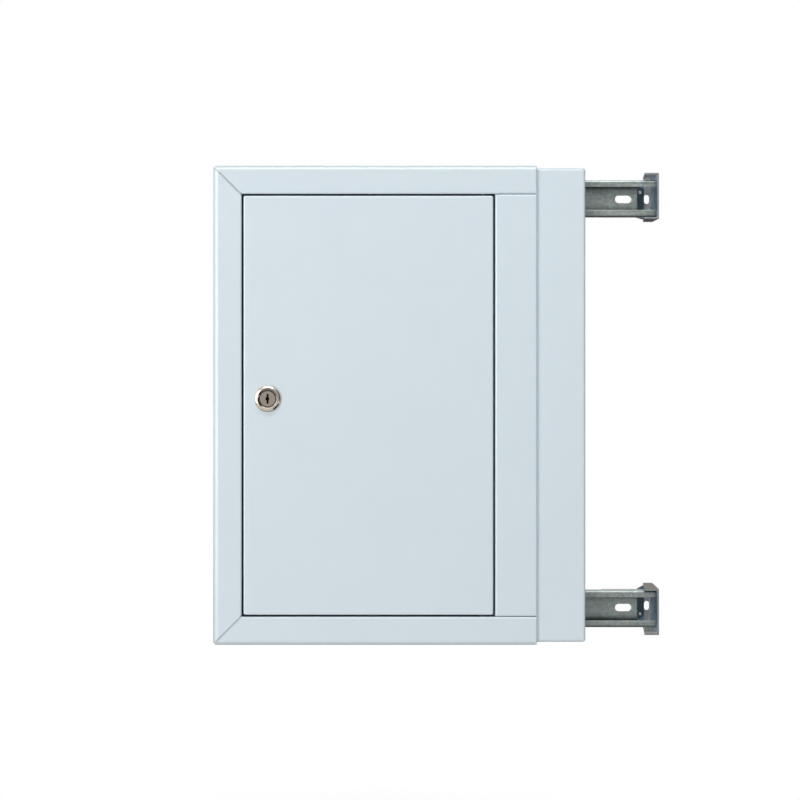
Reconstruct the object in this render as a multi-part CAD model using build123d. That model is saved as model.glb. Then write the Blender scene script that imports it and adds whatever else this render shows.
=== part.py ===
from build123d import *
import math
import os

# Steel wall enclosure. A folded cover frame holds a flush door with a cam lock, and a side extension
# slides in its open right end. Two C-rails on slotted wall brackets carry the cover.
# Millimetres. +X is to the right, +Y goes to the wall and +Z is up. The wall is the plane Y = 0,
# and X = Z = 0 is the middle of the cover frame.

# Cover frame
frame_width = 270.0
frame_height = 400.0
depth = 60.0             # from the wall to the front face
wall_gap = 3.0           # between the cover's back edges and the wall
sheet = 1.5
face_width = 24.0        # left, top and bottom faces
stile_width = 35.0       # right face
outer_bend = 4.5         # outside radius between face and wall
edge_bend = 1.7          # outside radius round the door opening
jamb_depth = 17.0        # from the front face to the rebate lip
lip_width = 10.0
seam = 0.3               # gap at a mitred or butted seam
corner_cut = 2.4         # taken off each outer left corner
end_return = 3.6         # depth of the fold along the frame's right end
cleat_sheet = 1.5
cleat_arm = 60.0         # from the outer corner to the end of a corner cleat
cleat_margin = 1.0       # between a cleat and the bends beside it
stile_cleat_reach = 14.0  # of a stile cleat to each side of its seam

# Side extension
extension_reach = 40.8   # past the end of the frame
extension_overlap = 31.0  # hidden behind the right stile
extension_depth = 20.0
extension_step_gap = 1.0  # between the cleats and the extension's face
extension_bend = 2.5
slide_gap = 0.5          # between the extension's flanges and the frame's walls
guide_gap = 0.4          # between the guide strips and the extension's flanges
guide_length = 26.0
guide_end_gap = 3.0      # from the end of the frame
guide_seat = 13.0        # stretch of a guide strip that lies on the wall
guide_tongue = 15.0      # stretch that lies under the extension's flange
guide_bend = 1.9

# Door and hinges
door_gap = 1.5
door_sheet = 1.25
door_depth = 13.0
door_flange = 8.0        # second return, along the back of the pan
hinge_inset = 8.0        # from the door's right edge to the pivot
hinge_setback = 5.0      # from the front face to the pivot
pin_radius = 1.75
pin_head_radius = 2.7
pin_head = 2.0
pin_reach = 9.0          # below the door's outer edge
running_gap = 0.05
bush_wall = 0.9
bush_flange_radius = 3.2
bush_lift = 0.3          # between a bush's flange and the jamb
bush_length = 5.0
seal_width = 6.0
seal_gap = 0.4           # between the seal and the shut door
seal_margin = 0.9        # from the jambs, past the bend of the lip
seal_hinge_gap = 9.0     # along the rails, from the pivot to the ends of the seal

# Lock
lock_inset = 20.4        # from the door's left edge
lock_height = 5.5        # above the middle of the door
bezel_radius = 11.0
bezel_height = 3.0
bezel_rim = 0.7
recess_radius = 7.35
recess_mouth = 8.2
recess_slope = 1.0       # from the top of the bezel down to the recess's wall
dome_turns = 3           # straight cuts that make the dome
barrel_radius = 9.0
barrel_flats = 16.0
barrel_gap = 0.15        # round the barrel in the door
plug_radius = 5.5
plug_face_radius = 6.4
plug_head = 0.95
plug_rear_gap = 0.2      # between the barrel and the shoulder of the plug
keyway_width = 1.65
keyway_height = 8.2
keyway_round = 1.6
keyway_offset = 0.2      # of the keyway's round part, to the left
keyway_depth = 12.0
nut_flats = 22.0
nut_height = 4.5
cam_sheet = 2.0
cam_lip_gap = 0.5        # between the cam and the back of the rebate lip
cam_hub = 8.0
cam_tip = 5.0
cam_reach = 25.0
cam_square = 7.0
cam_square_gap = 0.05
cam_screw_radius = 2.5
cam_screw_length = 8.0
cam_screw_head_flats = 8.0
cam_screw_head = 2.5

# C-rails
rail_inset = 24.6        # from the frame's top and bottom edges to the middle of each rail
rail_setback = 31.0      # from the front face to the front of the rails
rail_width = 31.5
rail_depth = 8.5
rail_sheet = 1.5
rail_lip = 5.9
rail_bend = 2.0
rail_slot_length = 14.1
rail_slot_width = 6.5
rail_slot_end = 26.9     # from a rail's end to its first slot
rail_slot_count = 4
rail_right_end = 239.5
cutout_width = 24.0      # of the web's open end

# Wall brackets
bracket_sheet = 1.5
bracket_wall_gap = 5.1   # between the left brackets and the cover's left wall
bracket_rail_gap = 0.5   # between a rail's end and the end plate
bracket_bend = 2.0
bracket_overhang = 3.0   # of the side walls past the front of the rails
tongue_length = 30.0     # under the rail's web
tongue_width = 31.0
tongue_slot_margin = 1.5
step_run = 9.0           # of the slanted step from the tongue to the foot
step_bend = 1.6
foot_width = 6.5         # between the step and the end plate
wall_outward = 20.0      # from the rail's middle to the side walls
wall_inward = 16.1
wall_slant = 4.3         # by which the side walls are wider at the front
foot_slot_length = 8.0
foot_slot_width = 4.6
foot_slot_gap = 3.6      # from the end plate to the slot's middle
foot_slot_offset = 2.1   # away from the rail's middle, outwards
tab_screw_offset = 6.5   # away from the rail's middle, outwards
tab_screw_share = 0.25   # of the way down the step
tab_screw_radius = 1.0
tab_screw_length = 4.0
tab_screw_head_radius = 1.5
tab_screw_head = 1.2
tab_screw_chamfer = 0.5

# Hangers
hanger_left_inset = 50.0   # from the frame's left edge
hanger_right_inset = 69.0  # from the frame's right edge
hanger_width = 30.0
hanger_sheet = 2.0
hanger_bend = 3.0
hanger_reach = 20.0      # of the flange along the cover's wall
hanger_foot = 10.0       # from the rail's middle, inwards
hanger_screw_radius = 3.0
hanger_hole_radius = 3.3
hanger_screw_length = 8.0
hanger_head_flats = 10.0
hanger_head = 4.0
nut_length = 26.0        # across the rail
nut_width = 14.0
nut_thickness = 4.0
thread_gap = 0.05

# Places that several pieces share
front = -depth
left_edge = -frame_width / 2
right_edge = frame_width / 2
top_edge = frame_height / 2
opening_left = left_edge + face_width
opening_right = right_edge - stile_width
opening_top = top_edge - face_width
lip_front = front + jamb_depth
lip_back = lip_front + sheet
wall_inner = top_edge - sheet
wall_back = -wall_gap
door_left = opening_left + door_gap
door_right = opening_right - door_gap
door_top = opening_top - door_gap
pivot_x = door_right - hinge_inset
pivot_y = front + hinge_setback
lock_x = door_left + lock_inset
lock_z = lock_height
extension_front = front + sheet + cleat_sheet + extension_step_gap
extension_back = extension_front + extension_depth
extension_top = wall_inner - slide_gap
rail_height = top_edge - rail_inset
rail_front = front + rail_setback
rail_back = rail_front + rail_depth
bracket_reach = bracket_overhang - rail_front
bracket_end = bracket_sheet + bracket_rail_gap
rail_left_end = left_edge + sheet + bracket_wall_gap + bracket_end
rail_middle = (rail_left_end + rail_right_end) / 2
rail_length = rail_right_end - rail_left_end
end_plate_inner = rail_right_end + bracket_rail_gap
foot_left = end_plate_inner - foot_width
web_end = foot_left - step_run
hanger_places = (left_edge + hanger_left_inset, right_edge - hanger_right_inset)


def block(x0, x1, y0, y1, z0, z1):
    """A box between two corners."""
    middle = Pos((x0 + x1) / 2, (y0 + y1) / 2, (z0 + z1) / 2)
    return middle * Box(x1 - x0, y1 - y0, z1 - z0)


def rounded_block(x0, x1, y0, y1, z0, z1, radius, left_round=True, corners_round=False):
    """A box whose front edges are round, with or without that of its left side and the corners."""
    solid = block(x0, x1, y0, y1, z0, z1)
    edges = solid.faces().sort_by(Axis.Y)[0].edges()
    if corners_round:
        edges += solid.edges().filter_by(Axis.Y)
    if not left_round:
        edges = edges.filter_by(lambda edge: edge.center().X > x0 + radius)
    return fillet(edges, radius)


def bent_sheet(points, outside_radii, thickness, plane, length):
    """A sheet folded along mid-line points on a plane, as long as given along the plane's normal."""
    mid_radii = [radius - thickness / 2 for radius in outside_radii]
    line = FilletPolyline(*points, radius=mid_radii)
    return extrude(plane * trace(line, thickness), length, dir=plane.z_dir)


def rod(radius, x, y, z, direction, length):
    """A plain cylinder that starts at a point and runs in a direction."""
    return extrude(Plane((x, y, z), z_dir=direction) * Circle(radius), length, dir=Vector(direction))


def plate(outline, x, y, z, thickness):
    """A flat plate, drawn in X and Z about a point, that runs from there towards the wall."""
    plane = Plane((x, y, z), x_dir=(1, 0, 0), z_dir=(0, -1, 0))
    return extrude(plane * outline, thickness, dir=Vector(0, 1, 0))


def mirrored_down(piece):
    return mirror(piece, about=Plane.XY)


def mirrored_left(piece):
    return mirror(piece, about=Plane((rail_middle, 0, 0), z_dir=(1, 0, 0)))


# Cover frame


def frame_bar(plane, length):
    """One folded bar of the frame: wall, face, jamb and rebate lip, before its ends are cut."""
    half = sheet / 2
    points = [
        (half, depth - wall_gap),
        (half, half),
        (face_width - half, half),
        (face_width - half, jamb_depth + half),
        (face_width + lip_width, jamb_depth + half),
    ]
    return bent_sheet(points, [outer_bend, edge_bend, edge_bend], sheet, plane, length)


def mitre(up):
    """The 45 degree plane through an outer left corner; its front side is the rail's side."""
    return Plane((left_edge, 0, up * top_edge), z_dir=(1, 0, up))


def blunt_corner():
    """What is ground off the outer top left corner."""
    corner = Polyline((0, 0), (corner_cut, 0), (0, -corner_cut), close=True)
    return plate(make_face(corner), left_edge, front, top_edge, depth)


def left_stile():
    plane = Plane((left_edge, front, -top_edge), x_dir=(1, 0, 0), z_dir=(0, 0, 1))
    bar = frame_bar(plane, frame_height)
    for up in (1, -1):
        bar = split(bar, bisect_by=mitre(up).offset(-seam / 2), keep=Keep.BOTTOM)
    return bar - blunt_corner() - mirrored_down(blunt_corner())


def top_rail():
    """The jamb and lip end at the right stile's jamb, the face folds back along its right end, and a
    hinge pin goes through the jamb."""
    plane = Plane((left_edge, front, top_edge), x_dir=(0, 0, -1), z_dir=(1, 0, 0))
    bar = split(frame_bar(plane, frame_width), bisect_by=mitre(1).offset(seam / 2), keep=Keep.TOP)
    low = opening_top - lip_width - sheet
    bar -= block(
        opening_right - seam, right_edge + sheet, front + sheet, lip_back + sheet, low,
        opening_top + edge_bend,
    )
    fold_back = front + end_return
    bar -= block(right_edge - sheet, right_edge + sheet, fold_back, depth, low, top_edge + sheet)
    bar += block(
        right_edge - sheet, right_edge, front + sheet / 2, fold_back, opening_top + sheet,
        top_edge - sheet / 2,
    )
    hull = block(left_edge, right_edge, front, wall_back, low, top_edge)
    end_edges = hull.edges().filter_by(lambda edge: edge.center().X > right_edge - edge_bend)
    round_edges = end_edges.group_by(Axis.Y)[0] + end_edges.filter_by(Axis.Y).sort_by(Axis.Z)[-1:]
    bar = bar & fillet(round_edges, edge_bend)
    bar -= blunt_corner()
    return bar - rod(pin_radius + running_gap, pivot_x, pivot_y, opening_top, (0, 0, 1), sheet)


def right_stile():
    """A strip between the rails with round edges, a fold along its right side, and on its left side a
    jamb and a lip that ends where the rails' lips begin."""
    end = opening_top - seam
    outer = rounded_block(opening_right, right_edge, front, lip_front, -end, end, edge_bend)
    inner = rounded_block(
        opening_right + sheet, right_edge - sheet, front + sheet, depth, -frame_height, frame_height,
        edge_bend - sheet,
    )
    behind_fold = block(
        right_edge - sheet, right_edge + sheet, front + end_return, depth, -frame_height, frame_height
    )
    half = sheet / 2
    points = [
        (opening_right + half, lip_front - edge_bend),
        (opening_right + half, lip_front + half),
        (opening_right - lip_width, lip_front + half),
    ]
    lip_end = opening_top - lip_width - seam
    plane = Plane((0, 0, -lip_end), x_dir=(1, 0, 0), z_dir=(0, 0, 1))
    lip = bent_sheet(points, [edge_bend], sheet, plane, 2 * lip_end)
    strip = outer - inner - behind_fold
    strip -= block(
        opening_right - sheet, opening_right + 2 * sheet, lip_front - edge_bend, depth, -lip_end, lip_end
    )
    return strip + lip


def corner_cleat():
    """A flat L behind a mitred corner."""
    inner = face_width - edge_bend - cleat_margin
    outer = outer_bend + cleat_margin
    y0 = front + sheet
    y1 = y0 + cleat_sheet
    along = block(
        left_edge + outer, left_edge + cleat_arm, y0, y1, top_edge - inner, top_edge - outer
    )
    down = block(
        left_edge + outer, left_edge + inner, y0, y1, top_edge - cleat_arm, top_edge - outer
    )
    return along + down


def stile_cleat():
    """A flat plate behind the seam between the right stile and a rail."""
    y0 = front + sheet
    return block(
        opening_right + edge_bend + cleat_margin, right_edge - edge_bend - cleat_margin, y0, y0 + cleat_sheet,
        opening_top - stile_cleat_reach, opening_top + stile_cleat_reach,
    )


def door_seal():
    """Foam strip on the rebate lips of three sides; it ends short of the door's path at the hinges."""
    outer_left = opening_left + seal_margin
    outer_top = opening_top - seal_margin
    end = pivot_x - seal_hinge_gap
    thickness = jamb_depth - door_depth - seal_gap
    y0 = lip_front - thickness
    whole = block(outer_left, end, y0, lip_front, -outer_top, outer_top)
    inside = block(
        outer_left + seal_width, end + seal_width, y0 - sheet, lip_front + sheet,
        seal_width - outer_top, outer_top - seal_width,
    )
    return whole - inside


# Side extension


def side_extension():
    """A shell with a face, top and bottom flanges and a right fold, open to the left and the back."""
    x0 = right_edge - extension_overlap
    x1 = right_edge + extension_reach
    outer = rounded_block(
        x0, x1, extension_front, extension_back, -extension_top, extension_top, extension_bend,
        left_round=False, corners_round=True,
    )
    inner = rounded_block(
        x0 - sheet, x1 - sheet, extension_front + sheet, extension_back + sheet,
        sheet - extension_top, extension_top - sheet, extension_bend - sheet, left_round=False,
    )
    return outer - inner


def guide_strip():
    """A joggled strip on the top wall that holds the extension's flange against that wall."""
    half = sheet / 2
    seat_z = wall_inner - half
    tongue_z = extension_top - sheet - guide_gap - half
    turn = extension_back + guide_gap + half
    points = [
        (turn + guide_seat, seat_z),
        (turn, seat_z),
        (turn, tongue_z),
        (turn - guide_tongue, tongue_z),
    ]
    start = right_edge - guide_end_gap - guide_length
    plane = Plane((start, 0, 0), x_dir=(0, 1, 0), z_dir=(1, 0, 0))
    return bent_sheet(points, [guide_bend, guide_bend], sheet, plane, guide_length)


# Door and hinges


def double_d(radius, flats):
    """A round with two vertical flats."""
    return Circle(radius) & Rectangle(flats, 2 * radius)


def door_leaf():
    """A pan folded twice along each edge, with holes for the lock and the hinge bushes."""
    back = front + door_depth
    pan = rounded_block(
        door_left, door_right, front, back, -door_top, door_top, edge_bend, corners_round=True
    )
    hollow = rounded_block(
        door_left + door_sheet, door_right - door_sheet, front + door_sheet, back - door_sheet,
        door_sheet - door_top, door_top - door_sheet, edge_bend - door_sheet,
    )
    window = block(
        door_left + door_flange, door_right - door_flange, back - 2 * door_sheet, back + door_sheet,
        door_flange - door_top, door_top - door_flange,
    )
    pan = pan - hollow - window
    hole = double_d(barrel_radius + barrel_gap, barrel_flats + 2 * barrel_gap)
    pan -= plate(hole, lock_x, front, lock_z, door_sheet)
    bush_hole = rod(bush_radius, pivot_x, pivot_y, door_top, (0, 0, -1), door_sheet)
    return pan - bush_hole - mirrored_down(bush_hole)


bush_radius = pin_radius + running_gap + bush_wall


def hinge_bush():
    """A flanged bush in the door's top return; its flange keeps the door off the jamb."""
    flange = door_gap - bush_lift
    bush = rod(bush_radius, pivot_x, pivot_y, door_top, (0, 0, -1), bush_length)
    bush += rod(bush_flange_radius, pivot_x, pivot_y, door_top, (0, 0, 1), flange)
    bore = rod(
        pin_radius + running_gap, pivot_x, pivot_y, door_top - bush_length, (0, 0, 1), bush_length + flange
    )
    return bush - bore


def hinge_pin():
    """A headed pin through the jamb into the bush."""
    seat = opening_top + sheet
    pin = rod(pin_radius, pivot_x, pivot_y, seat, (0, 0, -1), seat - door_top + pin_reach)
    return pin + rod(pin_head_radius, pivot_x, pivot_y, seat, (0, 0, 1), pin_head)


# Lock


lock_plane = Plane((lock_x, front, lock_z), x_dir=(1, 0, 0), z_dir=(0, 1, 0))
cam_front = jamb_depth + sheet + cam_lip_gap
barrel_length = cam_front - plug_rear_gap


def lock_housing():
    """A domed bezel turned in one piece with the barrel, bored for the plug."""
    bore = plug_radius + running_gap
    rise = bezel_height - bezel_rim
    run = bezel_radius - recess_mouth
    angles = [math.radians(90 * turn / dome_turns) for turn in range(dome_turns + 1)]
    outline = [
        (bore, barrel_length),
        (barrel_radius, barrel_length),
        (barrel_radius, 0),
        (bezel_radius, 0),
        *[(recess_mouth + run * math.cos(a), -bezel_rim - rise * math.sin(a)) for a in angles],
        (recess_radius, recess_slope - bezel_height),
        (recess_radius, -bezel_rim),
        (bore, -bezel_rim),
    ]
    turned = revolve(Plane.XZ * make_face(Polyline(*outline, close=True)), Axis.Z)
    flats = extrude(double_d(barrel_radius + barrel_gap, barrel_flats), barrel_length)
    rest = extrude(Circle(bezel_radius + bezel_rim), -bezel_height - bezel_rim)
    return lock_plane * (turned & (flats + rest))


def lock_nut():
    hexagon = RegularPolygon(nut_flats / 2, 6, major_radius=False) - Circle(barrel_radius + thread_gap)
    return lock_plane.offset(door_sheet) * extrude(hexagon, nut_height)


def lock_plug():
    """The turning core: a face with the keyway, a shaft and a square tail with a tapped hole."""
    seat = -bezel_rim - running_gap
    head = Pos(0, 0, seat) * extrude(Circle(plug_face_radius), -plug_head)
    shaft = Pos(0, 0, seat) * extrude(Circle(plug_radius), cam_front - seat)
    tail = Pos(0, 0, cam_front) * extrude(Rectangle(cam_square, cam_square), cam_sheet - running_gap)
    keyway = Rectangle(keyway_width, keyway_height) + Pos(-keyway_offset, 0) * Circle(keyway_round)
    mouth = Pos(0, 0, seat - plug_head) * extrude(keyway, keyway_depth)
    tapped = Pos(0, 0, cam_front + cam_sheet) * extrude(
        Circle(cam_screw_radius + thread_gap), -cam_screw_length - cam_sheet
    )
    return lock_plane * (head + shaft + tail - mouth - tapped)


def lock_cam():
    """A flat cam that hangs down when the lock is open."""
    hub = Circle(cam_hub)
    tip = Pos(0, cam_reach) * Circle(cam_tip)
    hole = Rectangle(cam_square + 2 * cam_square_gap, cam_square + 2 * cam_square_gap)
    blade = make_hull(hub.edges() + tip.edges()) - hole
    return lock_plane.offset(cam_front) * extrude(blade, cam_sheet)


def cam_screw():
    seat = lock_plane.offset(cam_front + cam_sheet)
    head = extrude(RegularPolygon(cam_screw_head_flats / 2, 6, major_radius=False), cam_screw_head)
    shank = extrude(Circle(cam_screw_radius), -cam_screw_length)
    return seat * (head + shank)


# C-rails and wall brackets


def rail():
    """A lipped channel with slots in its web, which stops short of both ends."""
    half = rail_sheet / 2
    side = rail_width / 2 - half
    lip_end = rail_width / 2 - rail_lip
    points = [
        (rail_front + half, lip_end),
        (rail_front + half, side),
        (rail_back - half, side),
        (rail_back - half, -side),
        (rail_front + half, -side),
        (rail_front + half, -lip_end),
    ]
    plane = Plane((rail_left_end, 0, rail_height), x_dir=(0, 1, 0), z_dir=(1, 0, 0))
    channel = bent_sheet(points, [rail_bend] * 4, rail_sheet, plane, rail_length)
    web_front = rail_back - rail_sheet
    pitch = (rail_length - 2 * rail_slot_end) / (rail_slot_count - 1)
    for number in range(rail_slot_count):
        slot = SlotOverall(rail_slot_length, rail_slot_width)
        x = rail_left_end + rail_slot_end + number * pitch
        channel -= plate(slot, x, web_front, rail_height, rail_sheet)
    cutout = block(
        web_end, rail_right_end, web_front - rail_sheet, rail_back + rail_sheet,
        rail_height - cutout_width / 2, rail_height + cutout_width / 2,
    )
    return channel - cutout - mirrored_left(cutout)


def step_seat():
    """The spot on a bracket's slanted step where its screw sits, and the way the step faces."""
    half = bracket_sheet / 2
    top = Vector(web_end, rail_back + half, rail_height + tab_screw_offset)
    bottom = Vector(foot_left, -half, rail_height + tab_screw_offset)
    fall = bottom - top
    facing = Vector(fall.Y, -fall.X, 0).normalized()
    return top + fall * tab_screw_share + facing * half, facing


def tab_screw():
    """A small screw through the bracket's step, with a flat round head."""
    seat, facing = step_seat()
    inwards = facing * -1
    shank = rod(tab_screw_radius, seat.X, seat.Y, seat.Z, tuple(inwards), tab_screw_length)
    head = rod(tab_screw_head_radius, seat.X, seat.Y, seat.Z, tuple(facing), tab_screw_head)
    rim = head.edges().filter_by(GeomType.CIRCLE).sort_by(Axis((0, 0, 0), tuple(facing)))[-1]
    return shank + chamfer(rim, tab_screw_chamfer)


def side_wall(low):
    """A wall of the bracket along the rail's side, wider at the front than at the wall."""
    outer = end_plate_inner + bracket_sheet
    outline = Polyline(
        (foot_left, 0), (outer, 0), (outer, -bracket_reach), (foot_left - wall_slant, -bracket_reach),
        close=True,
    )
    wall = make_face(outline)
    bend = wall.vertices().group_by(Axis.X)[-1].sort_by(Axis.Y)[-1]
    return Pos(0, 0, low) * extrude(fillet(bend, bracket_bend), bracket_sheet)


def rail_bracket():
    """A pressed cup: tongue under the rail's web, step, slotted foot, end plate and side walls."""
    half = bracket_sheet / 2
    tongue_level = rail_back + half
    strip = [
        (web_end - tongue_length, tongue_level), (web_end, tongue_level),
        (foot_left, -half), (foot_left + foot_width / 2, -half),
    ]
    strip_plane = Plane((0, 0, rail_height - tongue_width / 2), x_dir=(1, 0, 0), z_dir=(0, 0, 1))
    tongue = bent_sheet(strip, [step_bend, step_bend], bracket_sheet, strip_plane, tongue_width)
    end_x = end_plate_inner + half
    corner = [(foot_left, -half), (end_x, -half), (end_x, -bracket_reach)]
    low = rail_height - wall_inward - bracket_sheet
    high = rail_height + wall_outward
    corner_plane = Plane((0, 0, low), x_dir=(1, 0, 0), z_dir=(0, 0, 1))
    end_plate = bent_sheet(corner, [bracket_bend], bracket_sheet, corner_plane, high + bracket_sheet - low)
    bracket = tongue + end_plate + side_wall(low) + side_wall(high)
    foot_slot = Rot(0, 0, 90) * SlotOverall(foot_slot_length, foot_slot_width)
    bracket -= plate(
        foot_slot, end_plate_inner - foot_slot_gap, -bracket_sheet, rail_height + foot_slot_offset,
        bracket_sheet,
    )
    web_slot = Rectangle(
        rail_slot_length + 2 * tongue_slot_margin, rail_slot_width + 2 * tongue_slot_margin
    )
    bracket -= plate(web_slot, rail_right_end - rail_slot_end, rail_back, rail_height, bracket_sheet)
    seat, facing = step_seat()
    start = seat + facing * bracket_sheet
    return bracket - rod(
        tab_screw_radius + thread_gap, start.X, start.Y, start.Z, tuple(facing * -1),
        3 * bracket_sheet,
    )


# Hangers


def hanger(x):
    """An angle from the rail's lips to the top wall of the cover."""
    half = hanger_sheet / 2
    points = [
        (rail_front - half, rail_height - hanger_foot),
        (rail_front - half, wall_inner - half),
        (rail_front - hanger_reach, wall_inner - half),
    ]
    plane = Plane((x - hanger_width / 2, 0, 0), x_dir=(0, 1, 0), z_dir=(1, 0, 0))
    angle = bent_sheet(points, [hanger_bend], hanger_sheet, plane, hanger_width)
    return angle - rod(
        hanger_hole_radius, x, rail_front - hanger_sheet, rail_height, (0, 1, 0), hanger_sheet
    )


def hanger_screw(x):
    seat = rail_front - hanger_sheet
    shank = rod(hanger_screw_radius, x, seat, rail_height, (0, 1, 0), hanger_screw_length)
    hexagon = RegularPolygon(hanger_head_flats / 2, 6, major_radius=False)
    return shank + plate(hexagon, x, seat - hanger_head, rail_height, hanger_head)


def sliding_nut(x):
    """A plate nut behind the rail's lips."""
    outline = Rectangle(nut_width, nut_length) - Circle(hanger_screw_radius + thread_gap)
    return plate(outline, x, rail_front + rail_sheet, rail_height, nut_thickness)


def both_rails(pieces):
    """The pieces of the upper rail and the same again on the lower one."""
    return Compound(pieces + [mirrored_down(piece) for piece in pieces])


upper_rail = rail()
right_bracket = rail_bracket()
left_bracket = mirrored_left(right_bracket)
right_tab_screw = tab_screw()
left_hanger, right_hanger = [hanger(x) for x in hanger_places]
top_frame_rail = top_rail()

nodes = {
    "frame_left_stile": left_stile(),
    "frame_top_rail": top_frame_rail,
    "frame_bottom_rail": mirrored_down(top_frame_rail),
    "frame_right_stile": right_stile(),
    "corner_cleat_top": corner_cleat(),
    "corner_cleat_bottom": mirrored_down(corner_cleat()),
    "stile_cleat_top": stile_cleat(),
    "stile_cleat_bottom": mirrored_down(stile_cleat()),
    "door_seal": door_seal(),
    "guide_strip_top": guide_strip(),
    "guide_strip_bottom": mirrored_down(guide_strip()),
    "side_extension": side_extension(),
    "door_leaf": door_leaf(),
    "hinge_bush_top": hinge_bush(),
    "hinge_bush_bottom": mirrored_down(hinge_bush()),
    "hinge_pin_top": hinge_pin(),
    "hinge_pin_bottom": mirrored_down(hinge_pin()),
    "lock_housing": lock_housing(),
    "lock_nut": lock_nut(),
    "lock_plug": lock_plug(),
    "lock_cam": lock_cam(),
    "cam_screw": cam_screw(),
    "upper_rail": upper_rail,
    "lower_rail": mirrored_down(upper_rail),
    "bracket_upper_right": right_bracket,
    "bracket_upper_left": left_bracket,
    "bracket_lower_right": mirrored_down(right_bracket),
    "bracket_lower_left": mirrored_down(left_bracket),
    "tab_screws": both_rails([right_tab_screw, mirrored_left(right_tab_screw)]),
    "hanger_upper_left": left_hanger,
    "hanger_upper_right": right_hanger,
    "hanger_lower_left": mirrored_down(left_hanger),
    "hanger_lower_right": mirrored_down(right_hanger),
    "hanger_screws": both_rails([hanger_screw(x) for x in hanger_places]),
    "sliding_nuts": both_rails([sliding_nut(x) for x in hanger_places]),
}

os.makedirs("parts", exist_ok=True)
for name, piece in nodes.items():
    export_step(piece, f"parts/{name}.step")
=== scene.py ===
import math

import bmesh
import bpy
from mathutils import Matrix, Vector


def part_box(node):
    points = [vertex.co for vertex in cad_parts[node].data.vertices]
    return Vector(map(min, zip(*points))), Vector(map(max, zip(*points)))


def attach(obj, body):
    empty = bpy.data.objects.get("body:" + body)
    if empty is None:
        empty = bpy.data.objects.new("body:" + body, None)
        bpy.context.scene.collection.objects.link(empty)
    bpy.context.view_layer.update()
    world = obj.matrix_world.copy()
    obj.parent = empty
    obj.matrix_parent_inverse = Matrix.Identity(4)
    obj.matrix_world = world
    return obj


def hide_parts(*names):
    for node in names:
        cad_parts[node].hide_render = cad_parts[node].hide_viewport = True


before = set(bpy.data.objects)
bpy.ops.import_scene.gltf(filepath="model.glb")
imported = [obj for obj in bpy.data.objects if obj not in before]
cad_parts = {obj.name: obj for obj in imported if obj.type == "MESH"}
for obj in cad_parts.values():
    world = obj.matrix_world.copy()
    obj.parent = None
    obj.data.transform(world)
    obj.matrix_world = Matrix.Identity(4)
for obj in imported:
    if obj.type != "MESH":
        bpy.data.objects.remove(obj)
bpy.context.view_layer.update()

# Cover frame: four bars folded from steel sheet, mitred at the left corners and butted at the right
# stile, with flat cleats spot welded behind the seams and guide strips for the side extension.
# The whole shell is powder coated in white after welding.

mm = 0.001


def linear(colour):
    """An sRGB hex colour as linear red, green, blue and alpha."""
    shares = [int(colour[i:i + 2], 16) / 255 for i in (0, 2, 4)]
    return [s / 12.92 if s <= 0.04045 else ((s + 0.055) / 1.055) ** 2.4 for s in shares] + [1]


def add_node(tree, kind, settings, inputs):
    """Adds a node; each input takes a value, or a link where it is given another node's output."""
    node = tree.nodes.new(kind)
    for name, value in settings.items():
        setattr(node, name, value)
    for name, value in inputs.items():
        if isinstance(value, bpy.types.NodeSocket):
            tree.links.new(value, node.inputs[name])
        else:
            node.inputs[name].default_value = value
    return node


def new_finish(name):
    """An empty material, its node tree and the piece's own coordinates in metres."""
    finish = bpy.data.materials.new(name)
    finish.use_nodes = True
    tree = finish.node_tree
    tree.nodes.clear()
    return finish, tree, add_node(tree, "ShaderNodeTexCoord", {}, {}).outputs["Object"]


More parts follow.
